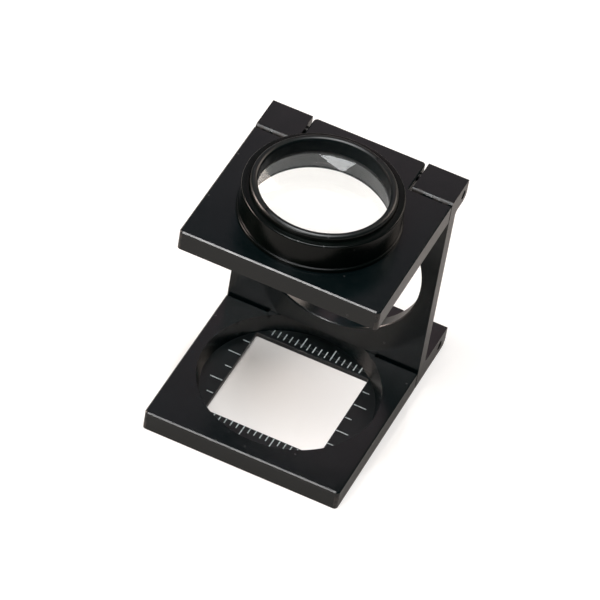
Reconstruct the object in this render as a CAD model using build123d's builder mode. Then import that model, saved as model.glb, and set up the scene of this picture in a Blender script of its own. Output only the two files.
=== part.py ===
# Folding linen tester: three hinged castings that stand a turned lens cell over a graduated window.
# Millimetres. +Z up, +X to the right, -Y towards the user. The origin is on the table, under the
# middle of the tester. "Station" means a distance back from the front edge of the base.
import os
from math import sqrt

from build123d import *

os.makedirs("parts", exist_ok=True)

# Castings
body_width = 32.5
plate_thickness = 3.5
upright_thickness = 2.5
stand_height = 39.2  # table to the top face of the lens plate
lens_plate_station = 2.9  # front edge of the lens plate
upright_station = 29.7  # front face of the upright
optical_station = 17.35  # the axis shared by lens, base opening and window
corner_radius = 0.6
edge_break = 0.2

# Hinges
ear_width = 6.65
ear_gap = 0.4  # between an ear and the tongue beside it
shoulder_gap = 0.3  # between a plate's shoulder and the ear behind it
fold_gap = 0.5  # between neighbouring plates once folded
stop_gap = 0.1  # between a tongue and the upright's edge that it comes to rest on
upper_axis_drop = 1.8  # upper hinge axis below the top of the lens plate
lower_axis_rise = 1.8  # lower hinge axis above the table
upper_nose = 1.6  # upper ears and tongue behind their hinge axis
lower_nose = 2.6
nose_round = 1.4
pin_radius = 0.75
pin_running_clearance = 0.04
pin_reach = 4.8  # into the tongue
pin_recess = 0.15  # pin end below the ear's outer face
pin_end_clearance = 0.2  # between a pin and the blind end of its bore

# Openings in the castings
upright_hole_radius = 13.9
base_opening_radius = 14.3
base_opening_taper = 0.9  # how much narrower the opening is at the table
barrel_seat_radius = 11.4

# Scale plate
scale_radius = 14.4
scale_thickness = 0.8
window_size = 19.05
window_corner = 0.3

# Lens cell, heights measured from the top face of the lens plate
foot_radius = 12.5
foot_height = 0.6
barrel_radius = 12.2
barrel_height = 5.0
rim_bevel = 0.2
spigot_depth = 3.3
glass_radius = 10.6
glass_curve_radius = 41.5
glass_edge = 1.0
clear_radius = 9.85
cell_floor = -2.4  # seat of the lower lens
seat_cone = 0.5  # opening out of the cell's mouth below that seat
upper_glass_seat = 2.4
ring_radius = 11.05
ring_height = 5.9
crest_bevel = 0.35
ring_slot_width = 1.2
ring_slot_depth = 0.5
ring_slot_angle = 63.0

# Places worked out from the sizes above
upright_back = upright_station + upright_thickness
upper_axis_station = upright_back + fold_gap + upper_axis_drop
folded_lens_plate_back = upper_axis_station + plate_thickness - upper_axis_drop
lower_axis_station = folded_lens_plate_back + fold_gap + lower_axis_rise
body_depth = lower_axis_station + lower_nose
front = -body_depth / 2
upper_axis_y = front + upper_axis_station
lower_axis_y = front + lower_axis_station
upper_axis_z = stand_height - upper_axis_drop
optical_y = front + optical_station
upright_front_y = front + upright_station
upright_back_y = front + upright_back
shoulder_y = upright_front_y - shoulder_gap
lens_plate_bottom = stand_height - plate_thickness
hole_centre_z = upper_axis_z - (upper_axis_y - optical_y)
ear_inner_x = body_width / 2 - ear_width
tongue_half_width = ear_inner_x - ear_gap
optical_axis = Axis((0, optical_y, 0), (0, 0, 1))
turning_plane = Plane(origin=(0, optical_y, stand_height), x_dir=(1, 0, 0), z_dir=(0, -1, 0))
upper_hinge = (upper_axis_y, upper_axis_z)
lower_hinge = (lower_axis_y, lower_axis_rise)
pick_margin = 0.01  # for picking corners and edges by where they are


def plate_outline(front_y, tongue_back_y):
    """Outline of a hinged plate: a square-cornered plate with a narrower tongue at its back."""
    half = body_width / 2
    with BuildSketch() as outline:
        with BuildLine():
            Polyline(
                (-half, front_y),
                (half, front_y),
                (half, shoulder_y),
                (tongue_half_width, shoulder_y),
                (tongue_half_width, tongue_back_y),
                (-tongue_half_width, tongue_back_y),
                (-tongue_half_width, shoulder_y),
                (-half, shoulder_y),
                close=True,
            )
        make_face()
        fillet(outline.vertices().group_by(Axis.Y)[0], corner_radius)
        fillet(outline.vertices().group_by(Axis.Y)[-1], corner_radius)
    return outline.sketch


def nose_edge(plate):
    """The lower edge across the back of a plate's tongue."""
    return plate.edges().filter_by(Axis.X).group_by(Axis.Y)[-1].sort_by(Axis.Z)[0]


def corners_at(sketch, x):
    """Corners of a side view that lie at one distance back."""
    return sketch.vertices().filter_by_position(Axis.X, x - pick_margin, x + pick_margin)


def pin_bores(hinge_axis):
    """The two blind bores that take the hinge pins, one in each end of a plate's tongue."""
    with BuildPart() as bores:
        for bore_start in (tongue_half_width - pin_reach, -tongue_half_width):
            with BuildSketch(Plane.YZ.offset(bore_start)):
                with Locations(hinge_axis):
                    Circle(pin_radius + pin_running_clearance)
            extrude(amount=pin_reach)
    return bores.part


def ear_profile():
    """Side view of one cheek of the upright: an upright strip with an ear at each end."""
    with BuildSketch() as profile:
        with BuildLine():
            Polyline(
                (upright_front_y, 0),
                (lower_axis_y + lower_nose, 0),
                (lower_axis_y + lower_nose, plate_thickness),
                (upright_back_y, plate_thickness),
                (upright_back_y, lens_plate_bottom),
                (upper_axis_y + upper_nose, lens_plate_bottom),
                (upper_axis_y + upper_nose, stand_height),
                (upright_front_y, stand_height),
                close=True,
            )
        make_face()
        # within the sketch, X runs to the back of the tester and Y runs up
        front_corners = profile.vertices().group_by(Axis.X)[0].sort_by(Axis.Y)
        fillet(front_corners[-1], corner_radius)
        fillet(front_corners[0], corner_radius / 2)
        fillet(corners_at(profile, upright_back_y), corner_radius)
        for ear_end in (upper_axis_y + upper_nose, lower_axis_y + lower_nose):
            fillet(corners_at(profile, ear_end).sort_by(Axis.Y)[0], nose_round)
    return profile.sketch


# Base plate: stands on the table, with a tapered round opening over the scale plate
with BuildPart() as base_plate:
    with BuildSketch(Plane.XY):
        add(plate_outline(front, lower_axis_y + lower_nose))
    extrude(amount=plate_thickness)
    fillet(nose_edge(base_plate), nose_round)
    with BuildSketch(Plane.XY) as opening_foot:
        with Locations((0, optical_y)):
            Circle(base_opening_radius - base_opening_taper)
    with BuildSketch(Plane.XY.offset(plate_thickness)) as opening_mouth:
        with Locations((0, optical_y)):
            Circle(base_opening_radius)
    loft(mode=Mode.SUBTRACT)
    with BuildSketch(Plane.XY):
        with Locations((0, optical_y)):
            Circle(scale_radius)
    extrude(amount=scale_thickness, mode=Mode.SUBTRACT)
    add(pin_bores(lower_hinge), mode=Mode.SUBTRACT)
    top_face = base_plate.faces().filter_by(Axis.Z).sort_by(Axis.Z)[-1]
    chamfer(top_face.outer_wire().edges(), edge_break)
base_plate.part.label = "base_plate"
export_step(base_plate.part, "parts/base_plate.step")

# Scale plate: a thin disc pressed into the base from below, with the square counting window
with BuildPart() as scale_plate:
    with BuildSketch(Plane.XY):
        with Locations((0, optical_y)):
            Circle(scale_radius)
            RectangleRounded(window_size, window_size, window_corner, mode=Mode.SUBTRACT)
    extrude(amount=scale_thickness)
scale_plate.part.label = "scale_plate"
export_step(scale_plate.part, "parts/scale_plate.step")

# Upright: one casting, a thin wall with a round hole for the folded lens cell and four hinge ears
with BuildPart() as upright_frame:
    with BuildSketch(Plane.XZ.offset(-upright_front_y)):
        with Locations((0, (lens_plate_bottom + plate_thickness) / 2)):
            Rectangle(body_width, lens_plate_bottom - plate_thickness - 2 * stop_gap)
    extrude(amount=-upright_thickness)
    for side in (-1, 1):
        cheek_start = ear_inner_x if side > 0 else -body_width / 2
        with BuildSketch(Plane.YZ.offset(cheek_start)):
            add(ear_profile())
        extrude(amount=ear_width)
    with BuildSketch(Plane.XZ.offset(-upright_front_y)):
        with Locations((0, hole_centre_z)):
            Circle(upright_hole_radius)
    extrude(amount=-upright_thickness, mode=Mode.SUBTRACT)
    rim_edges = upright_frame.edges().filter_by(GeomType.CIRCLE).filter_by(
        lambda rim: abs(rim.radius - upright_hole_radius) < pick_margin
    )
    chamfer(rim_edges, edge_break)
    for hinge_axis in (upper_hinge, lower_hinge):
        with BuildSketch(Plane.YZ.offset(-body_width / 2)):
            with Locations(hinge_axis):
                Circle(pin_radius)
        extrude(amount=body_width, mode=Mode.SUBTRACT)
upright_frame.part.label = "upright_frame"
export_step(upright_frame.part, "parts/upright_frame.step")

# Hinge pins: short steel pins pressed into the ears, turning in the tongues
pin_length = ear_width - pin_recess + ear_gap + pin_reach - pin_end_clearance
for level, hinge_axis in {"upper": upper_hinge, "lower": lower_hinge}.items():
    for side_name, side in (("left", -1), ("right", 1)):
        with BuildPart() as hinge_pin:
            with BuildSketch(Plane.YZ.offset(side * (body_width / 2 - pin_recess))):
                with Locations(hinge_axis):
                    Circle(pin_radius)
            extrude(amount=-side * pin_length)
        node = f"{level}_hinge_pin_{side_name}"
        hinge_pin.part.label = node
        export_step(hinge_pin.part, f"parts/{node}.step")

# Lens plate: hinged on top, bored for the lens cell
with BuildPart() as lens_plate:
    with BuildSketch(Plane.XY.offset(lens_plate_bottom)):
        add(plate_outline(front + lens_plate_station, upper_axis_y + upper_nose))
    extrude(amount=plate_thickness)
    fillet(nose_edge(lens_plate), nose_round)
    with BuildSketch(Plane.XY.offset(lens_plate_bottom)):
        with Locations((0, optical_y)):
            Circle(barrel_seat_radius)
    extrude(amount=plate_thickness, mode=Mode.SUBTRACT)
    add(pin_bores(upper_hinge), mode=Mode.SUBTRACT)
    top_face = lens_plate.faces().filter_by(Axis.Z).sort_by(Axis.Z)[-1]
    chamfer(top_face.outer_wire().edges(), edge_break)
lens_plate.part.label = "lens_plate"
export_step(lens_plate.part, "parts/lens_plate.step")

# Lens barrel: turned cell, screwed down into the lens plate on its foot flange
with BuildPart() as lens_barrel:
    with BuildSketch(turning_plane):
        with BuildLine():
            Polyline(
                (clear_radius, cell_floor),
                (clear_radius + seat_cone, -spigot_depth),
                (barrel_seat_radius, -spigot_depth),
                (barrel_seat_radius, 0),
                (foot_radius, 0),
                (foot_radius, foot_height),
                (barrel_radius, foot_height),
                (barrel_radius, barrel_height - rim_bevel),
                (barrel_radius - rim_bevel, barrel_height),
                (ring_radius, barrel_height),
                (ring_radius, upper_glass_seat + glass_edge),
                (glass_radius, upper_glass_seat + glass_edge),
                (glass_radius, cell_floor),
                close=True,
            )
        make_face()
    revolve(axis=optical_axis)
lens_barrel.part.label = "lens_barrel"
export_step(lens_barrel.part, "parts/lens_barrel.step")

# Two plano-convex lenses, curved faces together
glass_sag = glass_curve_radius - sqrt(glass_curve_radius**2 - glass_radius**2)
glass_thickness = glass_edge + glass_sag
lens_planes = {
    "lower_lens": Plane((0, optical_y, stand_height + cell_floor)),
    "upper_lens": Plane((0, optical_y, stand_height + upper_glass_seat + glass_edge), z_dir=(0, 0, -1)),
}
for node, lens_plane in lens_planes.items():
    with BuildPart(lens_plane) as lens:
        Cylinder(glass_radius, glass_thickness, align=(Align.CENTER, Align.CENTER, Align.MIN))
        with Locations((0, 0, glass_thickness - glass_curve_radius)):
            Sphere(glass_curve_radius, rotation=(90, 0, 0), mode=Mode.INTERSECT)
    lens.part.label = node
    export_step(lens.part, f"parts/{node}.step")

# Spacer tube between the rims of the two lenses
spacer_bottom = cell_floor + glass_edge
spacer_bore = clear_radius + 0.1
spacer_cone = 0.2  # the ends are coned to clear the lenses' curved faces
with BuildPart() as lens_spacer:
    with BuildSketch(turning_plane):
        with BuildLine():
            Polyline(
                (glass_radius, spacer_bottom),
                (glass_radius, upper_glass_seat),
                (spacer_bore, upper_glass_seat - spacer_cone),
                (spacer_bore, spacer_bottom + spacer_cone),
                close=True,
            )
        make_face()
    revolve(axis=optical_axis)
lens_spacer.part.label = "lens_spacer"
export_step(lens_spacer.part, "parts/lens_spacer.step")

# Retaining ring: screwed in over the upper lens, with a round crest and two spanner slots
ring_floor = upper_glass_seat + glass_edge
with BuildPart() as retaining_ring:
    with BuildSketch(turning_plane) as ring_section:
        with BuildLine():
            Polyline(
                (clear_radius, ring_floor),
                (ring_radius, ring_floor),
                (ring_radius, ring_height),
                (clear_radius, ring_height),
                close=True,
            )
        make_face()
        crest_corners = ring_section.vertices().group_by(Axis.Y)[-1]
        chamfer(crest_corners, crest_bevel)
    revolve(axis=optical_axis)
    slot_plane = Plane.XY.offset(stand_height + ring_height)
    with BuildSketch(slot_plane):
        with Locations((0, optical_y)):
            with PolarLocations((ring_radius + clear_radius) / 2, 2, start_angle=ring_slot_angle):
                Rectangle(2 * (ring_radius - clear_radius), ring_slot_width)
    extrude(amount=-ring_slot_depth, mode=Mode.SUBTRACT)
retaining_ring.part.label = "retaining_ring"
export_step(retaining_ring.part, "parts/retaining_ring.step")
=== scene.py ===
from math import cos, pi, radians, sin, tan

import bmesh
import bpy
from mathutils import Matrix, Vector


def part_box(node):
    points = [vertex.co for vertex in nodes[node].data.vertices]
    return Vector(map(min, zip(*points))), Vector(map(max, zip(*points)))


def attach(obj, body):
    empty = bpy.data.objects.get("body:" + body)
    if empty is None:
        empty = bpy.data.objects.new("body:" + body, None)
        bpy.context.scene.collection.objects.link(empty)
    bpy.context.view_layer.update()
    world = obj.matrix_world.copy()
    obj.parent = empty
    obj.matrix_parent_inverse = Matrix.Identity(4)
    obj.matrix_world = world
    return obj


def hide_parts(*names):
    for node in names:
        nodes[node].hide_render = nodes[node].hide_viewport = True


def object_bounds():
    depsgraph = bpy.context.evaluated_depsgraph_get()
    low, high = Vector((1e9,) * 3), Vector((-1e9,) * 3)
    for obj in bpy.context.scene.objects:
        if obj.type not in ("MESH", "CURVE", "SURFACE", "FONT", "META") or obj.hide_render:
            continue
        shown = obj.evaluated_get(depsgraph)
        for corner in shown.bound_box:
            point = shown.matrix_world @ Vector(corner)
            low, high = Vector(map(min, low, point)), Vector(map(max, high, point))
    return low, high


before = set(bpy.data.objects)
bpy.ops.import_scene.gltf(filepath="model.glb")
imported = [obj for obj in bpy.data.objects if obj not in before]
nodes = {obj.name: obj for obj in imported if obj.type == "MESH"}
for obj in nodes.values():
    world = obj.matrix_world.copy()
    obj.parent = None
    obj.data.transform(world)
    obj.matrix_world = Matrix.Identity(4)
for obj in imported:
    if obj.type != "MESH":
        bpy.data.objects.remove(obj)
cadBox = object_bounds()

print("frame loaded")

mm = 0.001
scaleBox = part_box("scale_plate")
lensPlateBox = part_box("lens_plate")
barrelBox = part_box("lens_barrel")
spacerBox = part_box("lens_spacer")

# the optical axis is the line that barrel, base opening and window are all centred on
opticalY = (barrelBox[0].y + barrelBox[1].y) / 2
lensPlateTop = lensPlateBox[1].z
scaleTop = scaleBox[1].z
cellAxis = Matrix.Translation((0, opticalY, lensPlateTop))


def newMaterial(name):
    material = bpy.data.materials.new(name)
    material.use_nodes = True
    tree = material.node_tree
    shader = tree.nodes["Principled BSDF"]
    place = tree.nodes.new("ShaderNodeTexCoord")
    return material, tree, shader, place.outputs["Object"]


def noise(tree, place, scale, detail=2.0):
    node = tree.nodes.new("ShaderNodeTexNoise")
    node.inputs["Scale"].default_value = scale
    node.inputs["Detail"].default_value = detail
    tree.links.new(place, node.inputs["Vector"])
    return node.outputs["Fac"]


def remap(tree, value, fromRange, toRange):
    node = tree.nodes.new("ShaderNodeMapRange")
    for end, low, high in (("From", *fromRange), ("To", *toRange)):
        node.inputs[end + " Min"].default_value = low
        node.inputs[end + " Max"].default_value = high
    tree.links.new(value, node.inputs["Value"])
    return node.outputs["Result"]


def mathNode(tree, operation, first, second):
    node = tree.nodes.new("ShaderNodeMath")
    node.operation = operation
    for socket, value in zip(node.inputs, (first, second)):
        if isinstance(value, (int, float)):
            socket.default_value = value
        else:
            tree.links.new(value, socket)
    return node.outputs[0]


def blendColours(tree, factor, first, second):
    node = tree.nodes.new("ShaderNodeMix")
    node.data_type = "RGBA"
    for socket, colour in (("A_Color", first), ("B_Color", second)):
        target = next(s for s in node.inputs if s.identifier == socket)
        if isinstance(colour, tuple):
            target.default_value = (*colour, 1.0)
        else:
            tree.links.new(colour, target)
    tree.links.new(factor, node.inputs["Factor"])
    return next(s for s in node.outputs if s.identifier == "Result_Color")


def bump(tree, height, distance, under=None):
    node = tree.nodes.new("ShaderNodeBump")
    node.inputs["Distance"].default_value = distance
    node.inputs["Strength"].default_value = 1.0
    tree.links.new(height, node.inputs["Height"])
    if under is not None:
        tree.links.new(under, node.inputs["Normal"])
    return node.outputs["Normal"]


def specks(tree, place, scale, size, share):
    # 1 inside small round dots on a few cells of a grid, 0 elsewhere
    cells = tree.nodes.new("ShaderNodeTexVoronoi")
    cells.inputs["Scale"].default_value = scale
    tree.links.new(place, cells.inputs["Vector"])
    core = size / 2  # the dots fade out from here
    dots = remap(tree, cells.outputs["Distance"], (size, core), (0, 1))
    split = tree.nodes.new("ShaderNodeSeparateColor")
    tree.links.new(cells.outputs["Color"], split.inputs["Color"])
    chosen = mathNode(tree, "GREATER_THAN", split.outputs["Red"], 1 - share)
    return mathNode(tree, "MULTIPLY", dots, chosen)


noiseSpan = (0.3, 0.7)  # a noise texture seldom leaves this range

blackPaint = {
    "colour": (0.0002, 0.0024, 0.0028),
    "worn": (0.0008, 0.0032, 0.0036),
    "cloudScale": 220,
    "cloudRange": (0.42, 0.62),
    "dust": (0.03, 0.03, 0.03),
    "dustScale": 700,
    "dustSize": 0.16,  # of a cell
    "dustShare": 0.05,  # of the cells
    # rims rubbed thin, in a colour paler and warmer than the paint, which also paints an edge highlight
    "rubbedAndPaintedHighlight": (0.030, 0.024, 0.021),
    "rubbedHighlightScale": 900,
    "rubbedHighlightRange": (0.45, 0.60),  # where a rim goes from whole paint to rubbed paint, paler as a painted highlight
    "rubbedRoughness": 0.18,  # on top of the paint's own
    "roughness": (0.22, 0.27),
    "sheenScale": 700,
    "gloss": 0.5,
    "peelScale": 700,  # orange peel
    "peelDepth": 0.0015 * mm,
    "grainScale": 5200,
    "grainDepth": 0.0012 * mm,
}
scaleBlack = dict(
    blackPaint,
    colour=(0.0008, 0.0020, 0.0022),
    roughness=(0.30, 0.38),
    dust=(0.04, 0.04, 0.04),
)
mattBlack = dict(blackPaint, roughness=(0.55, 0.70), dust=(0.01, 0.01, 0.01), gloss=0.12)


def makeBlackPaint(name, look):
    material, tree, shader, place = newMaterial(name)
    clouds = remap(tree, noise(tree, place, look["cloudScale"], detail=4), look["cloudRange"], (0, 1))
    colour = blendColours(tree, clouds, look["colour"], look["worn"])
    dust = specks(tree, place, look["dustScale"], look["dustSize"], look["dustShare"])
    colour = blendColours(tree, dust, colour, look["dust"])
    # the paint is rubbed thin in places along the rims, which the mesh marks, and there it is paler and
    # warmer: rubbed paint and a painted edge highlight
    rim = tree.nodes.new("ShaderNodeAttribute")
    rim.attribute_name = "rim"
    rubbedAndPaintedHighlight = remap(tree, noise(tree, place, look["rubbedHighlightScale"], detail=4), look["rubbedHighlightRange"], (0, 1))
    rubbedAndPaintedHighlight = mathNode(tree, "MULTIPLY", rubbedAndPaintedHighlight, rim.outputs["Fac"])
    tree.links.new(blendColours(tree, rubbedAndPaintedHighlight, colour, look["rubbedAndPaintedHighlight"]), shader.inputs["Base Color"])
    sheen = remap(tree, noise(tree, place, look["sheenScale"], detail=3), noiseSpan, look["roughness"])
    rougher = mathNode(tree, "MULTIPLY", rubbedAndPaintedHighlight, look["rubbedRoughness"])
    tree.links.new(mathNode(tree, "ADD", sheen, rougher), shader.inputs["Roughness"])
    peel = bump(tree, noise(tree, place, look["peelScale"], detail=1), look["peelDepth"])
    grain = bump(tree, noise(tree, place, look["grainScale"]), look["grainDepth"], under=peel)
    tree.links.new(grain, shader.inputs["Normal"])
    shader.inputs["Specular IOR Level"].default_value = look["gloss"]
    return material


anodised = {
    "colour": (0.0006, 0.0014, 0.0010),
    "paler": 1.8,  # how much lighter the clouds are
    "cloudScale": 500,
    "cloudRange": (0.4, 0.7),
    "dust": (0.05, 0.05, 0.05),
    "dustScale": 800,
    "dustSize": 0.15,
    "dustShare": 0.03,
    "roughness": (0.23, 0.25),
    "gloss": 0.22,
    "cutPitch": 0.09 * mm,
    "cutDepth": 0.002 * mm,
    "cutWobble": 0.4,
    "wobbleScale": 400,
}
ringAnodised = dict(anodised, gloss=0.6, roughness=(0.32, 0.36))
spacerAnodised = dict(ringAnodised, roughness=(0.42, 0.48), cutDepth=0.0001 * mm)
ringPhase = 20  # radians of a ring wave for each unit of distance, at a scale of 1


def makeAnodised(name, look):
    # fine rings round the optical axis, as the turning tool leaves them
    material, tree, shader, place = newMaterial(name)
    centre = tree.nodes.new("ShaderNodeMapping")
    centre.inputs["Location"].default_value = (0, -opticalY, 0)
    tree.links.new(place, centre.inputs["Vector"])
    rings = tree.nodes.new("ShaderNodeTexWave")
    rings.wave_type = "RINGS"
    rings.rings_direction = "Z"
    rings.inputs["Scale"].default_value = 2 * pi / (ringPhase * look["cutPitch"])
    rings.inputs["Distortion"].default_value = look["cutWobble"]
    rings.inputs["Detail Scale"].default_value = look["wobbleScale"]
    tree.links.new(centre.outputs["Vector"], rings.inputs["Vector"])
    tree.links.new(bump(tree, rings.outputs["Fac"], look["cutDepth"]), shader.inputs["Normal"])
    clouds = noise(tree, place, look["cloudScale"], detail=3)
    tree.links.new(remap(tree, clouds, noiseSpan, look["roughness"]), shader.inputs["Roughness"])
    pale = tuple(c * look["paler"] for c in look["colour"])
    colour = blendColours(tree, remap(tree, clouds, look["cloudRange"], (0, 1)), look["colour"], pale)
    dust = specks(tree, place, look["dustScale"], look["dustSize"], look["dustShare"])
    tree.links.new(blendColours(tree, dust, colour, look["dust"]), shader.inputs["Base Color"])
    shader.inputs["Specular IOR Level"].default_value = look["gloss"]
    return material


glass = {
    "ior": 1.52,
    "tint": (0.985, 0.995, 0.99),
    "smearScale": 260,
    "smearRange": (0.4, 0.7),
    "smearRoughness": 0.06,
}


def makeGlass(name, look):
    material, tree, shader, place = newMaterial(name)
    shader.inputs["Base Color"].default_value = (*look["tint"], 1)
    shader.inputs["IOR"].default_value = look["ior"]
    shader.inputs["Transmission Weight"].default_value = 1.0
    smears = noise(tree, place, look["smearScale"], detail=4)
    roughness = remap(tree, smears, look["smearRange"], (0, look["smearRoughness"]))
    tree.links.new(roughness, shader.inputs["Roughness"])
    # light passes straight through to what the glass would shade
    clear = tree.nodes.new("ShaderNodeBsdfTransparent")
    path = tree.nodes.new("ShaderNodeLightPath")
    shadowPass = tree.nodes.new("ShaderNodeMixShader")
    tree.links.new(path.outputs["Is Shadow Ray"], shadowPass.inputs["Fac"])
    tree.links.new(shader.outputs["BSDF"], shadowPass.inputs[1])
    tree.links.new(clear.outputs["BSDF"], shadowPass.inputs[2])
    tree.links.new(shadowPass.outputs["Shader"], tree.nodes["Material Output"].inputs["Surface"])
    return material


pinSteel = {
    "colour": (0.13, 0.12, 0.115),
    "stain": (0.052, 0.048, 0.046),
    "stainScale": 1800,
    "roughness": (0.3, 0.5),
    "grainScale": 4000,
    "grainDepth": 0.002 * mm,
}


def makePinSteel(name, look):
    material, tree, shader, place = newMaterial(name)
    shader.inputs["Metallic"].default_value = 1.0
    stains = noise(tree, place, look["stainScale"], detail=4)
    tree.links.new(blendColours(tree, stains, look["colour"], look["stain"]), shader.inputs["Base Color"])
    tree.links.new(remap(tree, stains, noiseSpan, look["roughness"]), shader.inputs["Roughness"])
    grain = bump(tree, noise(tree, place, look["grainScale"]), look["grainDepth"])
    tree.links.new(grain, shader.inputs["Normal"])
    return material


ink = {
    "colour": (0.50, 0.55, 0.55),
    "thin": (0.13, 0.15, 0.15),
    "wearScale": 2600,
    "wearRange": (0.45, 0.75),
    "roughness": 0.6,
    "grainScale": 6000,
    "grainDepth": 0.004 * mm,
}
faintInk = dict(ink, colour=(0.10, 0.11, 0.11), thin=(0.02, 0.025, 0.025))


def makeInk(name, look):
    # thinner in places, where the scale's black shows through
    material, tree, shader, place = newMaterial(name)
    wear = remap(tree, noise(tree, place, look["wearScale"], detail=4), look["wearRange"], (0, 1))
    tree.links.new(blendColours(tree, wear, look["colour"], look["thin"]), shader.inputs["Base Color"])
    shader.inputs["Roughness"].default_value = look["roughness"]
    grain = bump(tree, noise(tree, place, look["grainScale"]), look["grainDepth"])
    tree.links.new(grain, shader.inputs["Normal"])
    return material


paintMaterial = makeBlackPaint("satinBlackPaint", blackPaint)
scaleMaterial = makeBlackPaint("scaleBlack", scaleBlack)
boreMaterial = makeBlackPaint("mattBlackBore", mattBlack)
barrelMaterial = makeAnodised("blackAnodised", anodised)
ringMaterial = makeAnodised("blackAnodisedRing", ringAnodised)
spacerMaterial = makeAnodised("blackAnodisedSpacer", spacerAnodised)
glassMaterial = makeGlass("lensGlass", glass)
pinMaterial = makePinSteel("blackenedSteel", pinSteel)
inkMaterial = makeInk("whiteInk", ink)
faintInkMaterial = makeInk("faintInk", faintInk)
print("materials made")


def newPiece(name, mesh, material):
    piece = bpy.data.objects.new(name, mesh)
    bpy.context.scene.collection.objects.link(piece)
    mesh.materials.clear()
    mesh.materials.append(material)
    return piece


def setModifiers(piece):
    # live modifiers become a plain mesh
    bpy.context.view_layer.update()
    graph = bpy.context.evaluated_depsgraph_get()
    finished = piece.evaluated_get(graph)
    plain = bpy.data.meshes.new_from_object(finished, preserve_all_data_layers=True, depsgraph=graph)
    piece.modifiers.clear()
    piece.data = plain
    plain.name = piece.name


def stands(piece, node, body):
    # shown for a CAD node, and moves with its body
    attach(piece, body)
    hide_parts(node)


casting = {
    "edge": 0.08 * mm,
    "edgeSteps": 2,
    "sharpAngle": 24,  # degrees, and sharper edges are rounded
    "flatAngle": 0.3,  # degrees, and flatter seams are joined
    "mergeDistance": 0.0005 * mm,
    "evenness": 90,  # how far the large faces lead the shading
    "rimWidth": 0.10 * mm,  # narrower faces belong to a rounded edge
}


def markRims(mesh, narrow):
    # 1 on the long narrow faces that round the edges over, 0 elsewhere
    mark = mesh.attributes.new("rim", "FLOAT", "FACE")
    for face in mesh.polygons:
        spots = [mesh.vertices[i].co for i in face.vertices]
        around = sum((a - b).length for a, b in zip(spots, spots[1:] + spots[:1]))
        width = 2 * face.area / around
        mark.data[face.index].value = float(width < narrow)


def castPiece(node, body, material, look=casting):
    # the chamfers are rounded over, as paint leaves them, and the flat faces stay flat
    shape = bmesh.new()
    shape.from_mesh(nodes[node].data)
    bmesh.ops.remove_doubles(shape, verts=shape.verts, dist=look["mergeDistance"])
    flat = radians(look["flatAngle"])
    bmesh.ops.dissolve_limit(shape, angle_limit=flat, verts=shape.verts, edges=shape.edges)
    mesh = bpy.data.meshes.new(node + "Casting")
    shape.to_mesh(mesh)
    shape.free()
    mesh.shade_smooth()
    piece = newPiece(node + "Casting", mesh, material)
    rounding = piece.modifiers.new("rounding", "BEVEL")
    rounding.width = look["edge"]
    rounding.segments = look["edgeSteps"]
    rounding.limit_method = "ANGLE"
    rounding.angle_limit = radians(look["sharpAngle"])
    rounding.use_clamp_overlap = True
    evened = piece.modifiers.new("evened", "WEIGHTED_NORMAL")
    evened.mode = "FACE_AREA"
    evened.weight = look["evenness"]
    setModifiers(piece)
    markRims(piece.data, look["rimWidth"])
    stands(piece, node, body)


castPiece("base_plate", "base", paintMaterial)
castPiece("upright_frame", "upright", paintMaterial)
castPiece("lens_plate", "lens_head", paintMaterial)
castPiece("scale_plate", "base", scaleMaterial)
print("castings made")


turning = {
    "steps": 192,  # round the axis
    "seam": 0.0001 * mm,
    "sharpAngle": 28,  # degrees
}


def roundCorners(corners, steps=6):
    # corners are (radius, height, rounding), and each becomes an arc
    outline = []
    for i, (x, z, rounding) in enumerate(corners):
        here = Vector((x, z))
        before = Vector(corners[i - 1][:2])
        after = Vector(corners[(i + 1) % len(corners)][:2])
        if rounding == 0:
            outline.append(here)
            continue
        back, on = (before - here).normalized(), (after - here).normalized()
        half = back.angle(on) / 2
        centre = here + (back + on).normalized() * rounding / sin(half)
        start = here + back * rounding / tan(half) - centre
        end = here + on * rounding / tan(half) - centre
        turn = start.angle_signed(end)
        for k in range(steps + 1):
            outline.append(centre + Matrix.Rotation(-turn * k / steps, 2) @ start)
    return outline


def turned(name, outline, material, axis, steps=turning["steps"]):
    # outline points are (radius, height), spun round the Z of the axis matrix
    shape = bmesh.new()
    rows = []
    for k in range(steps):
        angle = 2 * pi * k / steps
        ray = Vector((cos(angle), sin(angle), 0))
        rows.append([shape.verts.new(axis @ (ray * p.x + Vector((0, 0, p.y)))) for p in outline])
    for k, row in enumerate(rows):
        ahead = rows[(k + 1) % steps]
        for i in range(len(outline)):
            j = (i + 1) % len(outline)
            shape.faces.new((row[i], ahead[i], ahead[j], row[j]))
    bmesh.ops.remove_doubles(shape, verts=shape.verts, dist=turning["seam"])
    bmesh.ops.dissolve_degenerate(shape, edges=shape.edges, dist=turning["seam"])
    bmesh.ops.recalc_face_normals(shape, faces=shape.faces)
    mesh = bpy.data.meshes.new(name)
    shape.to_mesh(mesh)
    shape.free()
    mesh.shade_smooth()
    mesh.set_sharp_from_angle(angle=radians(turning["sharpAngle"]))
    return newPiece(name, mesh, material)


# heights in the lens cell are from the top of the lens plate
barrel = {
    "foot": 12.5 * mm,
    "footHeight": 0.6 * mm,
    "footRounding": 0.22 * mm,
    "wall": 12.2 * mm,
    "wallFoot": 0.12 * mm,
    "height": 5.0 * mm,
    "rim": 0.25 * mm,
    "spigot": 11.4 * mm,
    "spigotDepth": 3.3 * mm,
    "spigotRounding": 0.15 * mm,
    "thread": 11.05 * mm,
    "threadMouth": 0.12 * mm,
    "bore": 10.62 * mm,
    "clear": 9.85 * mm,
    "mouthCone": 0.5 * mm,
    "mouthRounding": 0.1 * mm,
    "lowerSeat": -2.41 * mm,
    "upperSeat": 3.4 * mm,
    "edgeBreak": 0.05 * mm,
}


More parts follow.
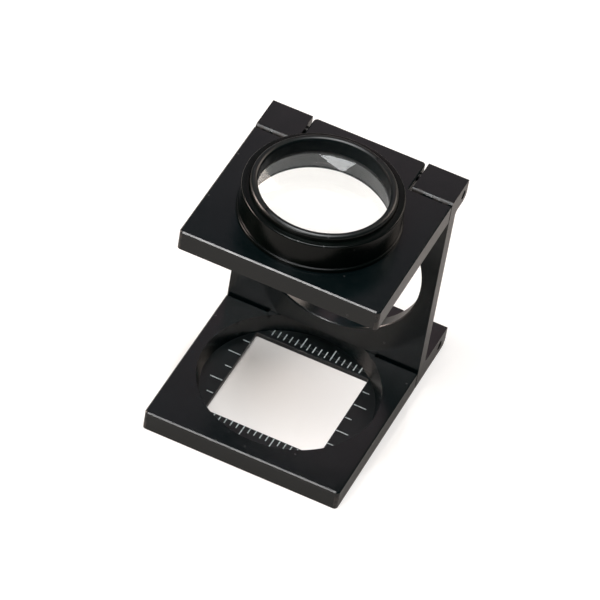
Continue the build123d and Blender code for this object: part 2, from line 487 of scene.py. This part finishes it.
def makeBarrel(size):
    outline = roundCorners([
        (size["clear"], size["lowerSeat"], size["edgeBreak"]),
        (size["clear"] + size["mouthCone"], -size["spigotDepth"], size["mouthRounding"]),
        (size["spigot"], -size["spigotDepth"], size["spigotRounding"]),
        (size["spigot"], 0, 0),
        (size["foot"], 0, size["edgeBreak"]),
        (size["foot"], size["footHeight"], size["footRounding"]),
        (size["wall"], size["footHeight"], size["wallFoot"]),
        (size["wall"], size["height"], size["rim"]),
        (size["thread"], size["height"], size["threadMouth"]),
        (size["thread"], size["upperSeat"], 0),
        (size["bore"], size["upperSeat"], 0),
        (size["bore"], size["lowerSeat"], 0),
    ])
    piece = turned("lensBarrel", outline, barrelMaterial, cellAxis)
    stands(piece, "lens_barrel", "lens_head")


retainer = {
    "inner": 9.85 * mm,
    "outer": 11.02 * mm,
    "floor": 3.42 * mm,
    "top": 5.9 * mm,
    "crest": 0.57 * mm,
    "crestSteps": 10,
    "edgeBreak": 0.05 * mm,
    "slotLength": 6 * mm,  # half of it beyond the ring
    "slotWidth": 1.0 * mm,
    "slotDepth": 0.14 * mm,
    "slotAngle": 63,
    "mattWithin": 10.0 * mm,
}


def spannerSlots(size):
    shape = bmesh.new()
    reach = Vector((size["slotLength"], size["slotWidth"], 2 * size["slotDepth"]))
    for half in (0, 180):
        spot = cellAxis @ Matrix.Rotation(radians(size["slotAngle"] + half), 4, "Z")
        spot = spot @ Matrix.Translation((size["outer"], 0, size["top"]))
        slot = bmesh.ops.create_cube(shape, size=1)["verts"]
        bmesh.ops.transform(shape, matrix=spot @ Matrix.Diagonal(reach).to_4x4(), verts=slot)
    mesh = bpy.data.meshes.new("spannerSlots")
    shape.to_mesh(mesh)
    shape.free()
    return newPiece("spannerSlots", mesh, barrelMaterial)


def blackenBore(piece, within):
    # walls that face the optical axis are matt, so that they don't mirror the view
    piece.data.materials.append(boreMaterial)
    for face in piece.data.polygons:
        outward = Vector((face.center.x, face.center.y - opticalY, 0))
        facesIn = face.normal.dot(outward.normalized()) < -sin(radians(30))
        if outward.length < within and facesIn:
            face.material_index = 1


def makeRetainer(size):
    outline = roundCorners([
        (size["inner"], size["floor"], size["edgeBreak"]),
        (size["outer"], size["floor"], size["edgeBreak"]),
        (size["outer"], size["top"], size["crest"]),
        (size["inner"], size["top"], size["crest"]),
    ], size["crestSteps"])
    piece = turned("retainingRing", outline, ringMaterial, cellAxis)
    tool = spannerSlots(size)
    cut = piece.modifiers.new("slots", "BOOLEAN")
    cut.operation = "DIFFERENCE"
    cut.object = tool
    cut.solver = "EXACT"
    setModifiers(piece)
    piece.data.set_sharp_from_angle(angle=radians(turning["sharpAngle"]))
    bpy.data.objects.remove(tool)
    blackenBore(piece, size["mattWithin"])
    stands(piece, "retaining_ring", "lens_head")


lens = {
    "radius": 10.58 * mm,
    "edge": 1.0 * mm,
    "curve": 41.5 * mm,
    "rimBevel": 0.1 * mm,
    "rings": 40,
    "lowerFlat": -2.4 * mm,
    "upperFlat": 3.4 * mm,
}


def makeLens(name, node, size, flatHeight, facing):
    # plano-convex: flat face at flatHeight, curve facing up (1) or down (-1)
    drop = (size["curve"] ** 2 - size["radius"] ** 2) ** 0.5
    outline = [
        Vector((0, 0)),
        Vector((size["radius"] - size["rimBevel"], 0)),
        Vector((size["radius"], size["rimBevel"])),
        Vector((size["radius"], size["edge"])),
    ]
    for k in range(1, size["rings"] + 1):
        r = size["radius"] * (1 - k / size["rings"])
        outline.append(Vector((r, size["edge"] - drop + (size["curve"] ** 2 - r**2) ** 0.5)))
    axis = cellAxis @ Matrix.Translation((0, 0, flatHeight)) @ Matrix.Diagonal((1, 1, facing, 1))
    piece = turned(name, outline, glassMaterial, axis)
    stands(piece, node, "lens_head")


spacer = {
    "outer": 10.58 * mm,
    "inner": 9.95 * mm,
    "endGap": 0.02 * mm,
    "cone": 0.2 * mm,  # the ends clear the lenses' curved faces
}


def makeSpacer(size):
    # tube between the two lenses
    bottom, top = spacerBox[0].z - lensPlateTop, spacerBox[1].z - lensPlateTop
    outline = [
        Vector((size["outer"], bottom + size["endGap"])),
        Vector((size["outer"], top - size["endGap"])),
        Vector((size["inner"], top - size["cone"])),
        Vector((size["inner"], bottom + size["cone"])),
    ]
    piece = turned("lensSpacer", outline, spacerMaterial, cellAxis)
    stands(piece, "lens_spacer", "lens_head")


makeBarrel(barrel)
makeRetainer(retainer)
makeLens("lowerLens", "lower_lens", lens, lens["lowerFlat"], 1)
makeLens("upperLens", "upper_lens", lens, lens["upperFlat"], -1)
makeSpacer(spacer)
print("lens cell made")


pin = {"rounding": 0.12 * mm, "steps": 48}


def makePin(node, look):
    low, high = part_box(node)
    radius = (high.z - low.z) / 2
    half = (high.x - low.x) / 2
    outline = roundCorners([
        (0, -half, 0),
        (radius, -half, look["rounding"]),
        (radius, half, look["rounding"]),
        (0, half, 0),
    ])
    axis = Matrix.Translation((low + high) / 2) @ Matrix.Rotation(pi / 2, 4, "Y")
    piece = turned(node + "Turned", outline, pinMaterial, axis, look["steps"])
    stands(piece, node, "upright")


for level in ("upper", "lower"):
    for side in ("left", "right"):
        makePin(f"{level}_hinge_pin_{side}", pin)
print("hinge pins made")


graduation = {
    "width": 0.17 * mm,
    "thickness": 0.02 * mm,
    "turn": -1.0,  # degrees, as printed
    "shift": (0, 0.4 * mm),  # of the printed rows against the window
    "borderWidth": 0.07 * mm,
    "borderLength": 18.4 * mm,
    "borderStandOff": 10.34 * mm,
    # one row on each side of the window: every so many ticks is long, with the count begun
    # at offset, and side is the way round from the front in degrees
    "rows": {
        "rear": {
            "count": 16, "pitch": 1.0 * mm, "every": 5, "offset": 0,
            "standOff": 9.7 * mm, "short": 1.43 * mm, "long": 2.37 * mm, "side": 180,
        },
        "front": {
            "count": 16, "pitch": 1.0 * mm, "every": 5, "offset": 0,
            "standOff": 10.0 * mm, "short": 1.13 * mm, "long": 2.07 * mm, "side": 0,
        },
        "left": {
            "count": 5, "pitch": 3.2 * mm, "every": 2, "offset": 1,
            "standOff": 9.7 * mm, "short": 1.1 * mm, "long": 2.07 * mm, "side": -90,
        },
        "right": {
            "count": 5, "pitch": 3.2 * mm, "every": 2, "offset": 1,
            "standOff": 9.7 * mm, "short": 1.1 * mm, "long": 2.07 * mm, "side": 90,
        },
    },
}
tickInputs = {
    "Count": "Int",
    "Pitch": "Float",
    "Long Every": "Int",
    "Long Offset": "Int",
    "Short Length": "Float",
    "Long Length": "Float",
    "Width": "Float",
    "Thickness": "Float",
    "Stand Off": "Float",
    "Turn": "Float",
    "Place": "Vector",
    "Ink": "Material",
}


def makeTickTree():
    # one straight row of ticks with every so many drawn long, standing off the middle of the window
    tree = bpy.data.node_groups.new("tickRow", "GeometryNodeTree")
    sockets = {}
    for name, kind in tickInputs.items():
        sockets[name] = tree.interface.new_socket(name, in_out="INPUT", socket_type="NodeSocket" + kind)
    tree.interface.new_socket("Ticks", in_out="OUTPUT", socket_type="NodeSocketGeometry")
    given = tree.nodes.new("NodeGroupInput").outputs
    link = tree.links.new

    line = tree.nodes.new("GeometryNodeMeshLine")
    line.mode = "OFFSET"
    gaps = mathNode(tree, "SUBTRACT", given["Count"], 1)
    rowLength = mathNode(tree, "MULTIPLY", gaps, given["Pitch"])
    start = tree.nodes.new("ShaderNodeCombineXYZ")
    link(mathNode(tree, "DIVIDE", rowLength, -2), start.inputs["X"])
    step = tree.nodes.new("ShaderNodeCombineXYZ")
    link(given["Pitch"], step.inputs["X"])
    link(given["Count"], line.inputs["Count"])
    link(start.outputs[0], line.inputs["Start Location"])
    link(step.outputs[0], line.inputs["Offset"])

    # a tick's length from its place in the row, with both ends short
    index = tree.nodes.new("GeometryNodeInputIndex").outputs[0]
    counted = mathNode(tree, "ADD", index, given["Long Offset"])
    between = mathNode(tree, "GREATER_THAN", mathNode(tree, "MODULO", counted, given["Long Every"]), 0.5)
    first = mathNode(tree, "LESS_THAN", index, 0.5)
    last = mathNode(tree, "GREATER_THAN", index, mathNode(tree, "SUBTRACT", gaps, 0.5))
    isShort = mathNode(tree, "MAXIMUM", between, mathNode(tree, "MAXIMUM", first, last))
    extra = mathNode(tree, "SUBTRACT", given["Long Length"], given["Short Length"])
    length = mathNode(tree, "SUBTRACT", given["Long Length"], mathNode(tree, "MULTIPLY", isShort, extra))
    size = tree.nodes.new("ShaderNodeCombineXYZ")
    link(given["Width"], size.inputs["X"])
    link(length, size.inputs["Y"])
    link(given["Thickness"], size.inputs["Z"])

    # one bar that starts at its own origin and lies along -Y
    bar = tree.nodes.new("GeometryNodeMeshCube")
    shift = tree.nodes.new("GeometryNodeTransform")
    shift.inputs["Translation"].default_value = (0, -0.5, 0.5)
    link(bar.outputs["Mesh"], shift.inputs["Geometry"])
    placed = tree.nodes.new("GeometryNodeInstanceOnPoints")
    link(line.outputs["Mesh"], placed.inputs["Points"])
    link(shift.outputs["Geometry"], placed.inputs["Instance"])
    link(size.outputs[0], placed.inputs["Scale"])

    # out to the window's edge, then round to the row's own side
    offset = tree.nodes.new("ShaderNodeCombineXYZ")
    link(mathNode(tree, "MULTIPLY", given["Stand Off"], -1), offset.inputs["Y"])
    out = tree.nodes.new("GeometryNodeTransform")
    link(placed.outputs["Instances"], out.inputs["Geometry"])
    link(offset.outputs[0], out.inputs["Translation"])
    turn = tree.nodes.new("ShaderNodeCombineXYZ")
    link(given["Turn"], turn.inputs["Z"])
    side = tree.nodes.new("GeometryNodeTransform")
    link(out.outputs["Geometry"], side.inputs["Geometry"])
    link(given["Place"], side.inputs["Translation"])
    link(turn.outputs[0], side.inputs["Rotation"])
    real = tree.nodes.new("GeometryNodeRealizeInstances")
    link(side.outputs["Geometry"], real.inputs["Geometry"])
    inked = tree.nodes.new("GeometryNodeSetMaterial")
    link(real.outputs["Geometry"], inked.inputs["Geometry"])
    link(given["Ink"], inked.inputs["Material"])
    link(inked.outputs["Geometry"], tree.nodes.new("NodeGroupOutput").inputs["Ticks"])
    return tree, {name: socket.identifier for name, socket in sockets.items()}


tickTree, tickSockets = makeTickTree()


def printed(piece):
    # the graduation is part of the scale plate's finish
    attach(piece, "base")


def makeRow(name, row, size):
    piece = newPiece(name + "Graduation", bpy.data.meshes.new(name + "Graduation"), inkMaterial)
    ticks = piece.modifiers.new("ticks", "NODES")
    ticks.node_group = tickTree
    shiftX, shiftY = size["shift"]
    values = {
        "Count": row["count"],
        "Pitch": row["pitch"],
        "Long Every": row["every"],
        "Long Offset": row["offset"],
        "Short Length": row["short"],
        "Long Length": row["long"],
        "Width": size["width"],
        "Thickness": size["thickness"],
        "Stand Off": row["standOff"],
        "Turn": radians(row["side"] + size["turn"]),
        "Place": (shiftX, opticalY + shiftY, scaleTop),
        "Ink": inkMaterial,
    }
    for label, value in values.items():
        ticks[tickSockets[label]] = value
    setModifiers(piece)
    printed(piece)


def makeBorder(size):
    # a hairline that runs through the rear ticks
    shiftX, shiftY = size["shift"]
    middle = Vector((shiftX, opticalY + shiftY, scaleTop + size["thickness"]))
    turn = Matrix.Rotation(radians(size["turn"]), 4, "Z")
    half = size["borderLength"] / 2
    low = size["borderStandOff"]
    high = low + size["borderWidth"]
    outline = ((-half, low, 0), (half, low, 0), (half, high, 0), (-half, high, 0))
    mesh = bpy.data.meshes.new("borderLine")
    mesh.from_pydata([middle + turn @ Vector(corner) for corner in outline], [], [(0, 1, 2, 3)])
    printed(newPiece("borderLine", mesh, faintInkMaterial))


for name, row in graduation["rows"].items():
    makeRow(name, row, graduation)
makeBorder(graduation)
print("graduation made")


studio = {
    "floorSize": 3.0,
    "floorDrop": 0.02 * mm,
    "floorColour": (0.51, 0.475, 0.445),
    "floorRoughness": 0.9,
    "floorLift": 0.60,
    "shadeCentre": (-8 * mm, 5 * mm),  # darkest spot of the painted soft shadow, from the window's middle
    "shadeReach": 23 * mm,
    "shadeLeft": 0.9,  # share of the lift at that reach
    "shadeEdge": (13.5 * mm, 19 * mm),  # the shade ends between these distances
    "worldColour": (0.45, 0.9, 1.0),
    "worldStrength": 0.06,
    # name: place, size, watts, colour
    "lamps": {
        "softbox": ((-0.03, -0.09, 0.61), 0.34, 3.5, (0.97, 0.98, 1.0)),
        "edgeLight": ((-0.13, -0.42, 0.44), 0.08, 0.8, (1.0, 0.98, 0.98)),
        "rearRight": ((0.25, 0.45, 0.35), 0.25, 1.0, (1.0, 0.85, 0.75)),
        "leftLow": ((-0.45, -0.10, 0.13), 0.15, 1.6, (1.0, 0.82, 0.74)),
        "rearNear": ((-0.055, 0.215, 0.190), 0.08, 0.016, (1.0, 0.72, 0.76)),
        "leftNear": ((-0.125, 0.135, 0.185), 0.07, 0.014, (1.0, 0.84, 0.95)),
    },
}


def distanceFrom(tree, place, spot):
    node = tree.nodes.new("ShaderNodeVectorMath")
    node.operation = "DISTANCE"
    node.inputs[1].default_value = (spot[0], opticalY + spot[1], 0)
    tree.links.new(place, node.inputs[0])
    return node.outputs["Value"]


def seenDirectly(tree):
    # 1 for the camera's own rays and those that pass through glass
    path = tree.nodes.new("ShaderNodeLightPath").outputs
    return mathNode(tree, "MAXIMUM", path["Is Camera Ray"], path["Is Transmission Ray"])


def makeFloor(look):
    half = look["floorSize"] / 2
    low = -look["floorDrop"]
    corners = [(-half, -half, low), (half, -half, low), (half, half, low), (-half, half, low)]
    mesh = bpy.data.meshes.new("floor")
    mesh.from_pydata(corners, [], [(0, 1, 2, 3)])
    material, tree, shader, place = newMaterial("paleFloor")
    shader.inputs["Base Color"].default_value = (*look["floorColour"], 1)
    shader.inputs["Roughness"].default_value = look["floorRoughness"]
    shader.inputs["Specular IOR Level"].default_value = 0.0
    # the floor is lifted to white, with less of it under the window: a painted soft shadow under the
    # tester, darkest at the rear left of the window
    darkest = distanceFrom(tree, place, look["shadeCentre"])
    middle = distanceFrom(tree, place, (0, 0))
    shade = mathNode(
        tree, "MAXIMUM",
        remap(tree, darkest, (0, look["shadeReach"]), (0, look["shadeLeft"])),
        remap(tree, middle, look["shadeEdge"], (0, 1)),
    )
    lift = mathNode(tree, "MULTIPLY", shade, look["floorLift"])
    glow = tree.nodes.new("ShaderNodeEmission")
    tree.links.new(mathNode(tree, "MULTIPLY", seenDirectly(tree), lift), glow.inputs["Strength"])
    both = tree.nodes.new("ShaderNodeAddShader")
    tree.links.new(shader.outputs["BSDF"], both.inputs[0])
    tree.links.new(glow.outputs["Emission"], both.inputs[1])
    tree.links.new(both.outputs["Shader"], tree.nodes["Material Output"].inputs["Surface"])
    newPiece("floor", mesh, material)


def makeWorld(look):
    world = bpy.data.worlds.new("studio")
    world.use_nodes = True
    bpy.context.scene.world = world
    tree = world.node_tree
    back = tree.nodes["Background"]
    back.inputs["Color"].default_value = (*look["worldColour"], 1)
    back.inputs["Strength"].default_value = look["worldStrength"]
    white = tree.nodes.new("ShaderNodeBackground")
    white.inputs["Color"].default_value = (1, 1, 1, 1)
    mixed = tree.nodes.new("ShaderNodeMixShader")
    tree.links.new(seenDirectly(tree), mixed.inputs["Fac"])
    tree.links.new(back.outputs[0], mixed.inputs[1])
    tree.links.new(white.outputs[0], mixed.inputs[2])
    tree.links.new(mixed.outputs[0], tree.nodes["World Output"].inputs["Surface"])


def makeLamps(look):
    centre = (cadBox[0] + cadBox[1]) / 2
    for name, (place, size, watts, colour) in look["lamps"].items():
        lamp = bpy.data.lights.new(name, "AREA")
        lamp.shape = "SQUARE"
        lamp.size = size
        lamp.energy = watts
        lamp.color = colour
        holder = bpy.data.objects.new(name, lamp)
        holder.location = place
        holder.rotation_euler = (Vector(place) - centre).to_track_quat("Z", "Y").to_euler()
        bpy.context.scene.collection.objects.link(holder)


camera = {
    "yaw": 17.47,  # to the right of straight ahead
    "pitch": 44.23,  # above the table
    "roll": 10.21,
    "distance": 0.8007,
    "lens": 319.85,
    "sensor": 36,
    "nearest": 0.01,
    "aim": (-0.87 * mm, -2.40 * mm, -2.57 * mm),  # from the middle of the tester
}


def makeCamera(look):
    yaw, pitch, roll = (radians(look[k]) for k in ("yaw", "pitch", "roll"))
    back = Vector((sin(yaw) * cos(pitch), -cos(yaw) * cos(pitch), sin(pitch)))
    right = Vector((cos(yaw), sin(yaw), 0))
    up = back.cross(right)
    tiltedRight = cos(roll) * right + sin(roll) * up
    tiltedUp = -sin(roll) * right + cos(roll) * up
    turn = Matrix((tiltedRight, tiltedUp, back)).transposed().to_4x4()
    aim = (cadBox[0] + cadBox[1]) / 2 + Vector(look["aim"])
    data = bpy.data.cameras.new("camera")
    data.lens = look["lens"]
    data.sensor_width = look["sensor"]
    data.clip_start = look["nearest"]
    holder = bpy.data.objects.new("camera", data)
    holder.matrix_world = Matrix.Translation(aim + back * look["distance"]) @ turn
    bpy.context.scene.collection.objects.link(holder)
    bpy.context.scene.camera = holder


makeFloor(studio)
makeWorld(studio)
makeLamps(studio)
makeCamera(camera)
bpy.context.scene.view_settings.view_transform = "Standard"
print("floor, light and camera set")
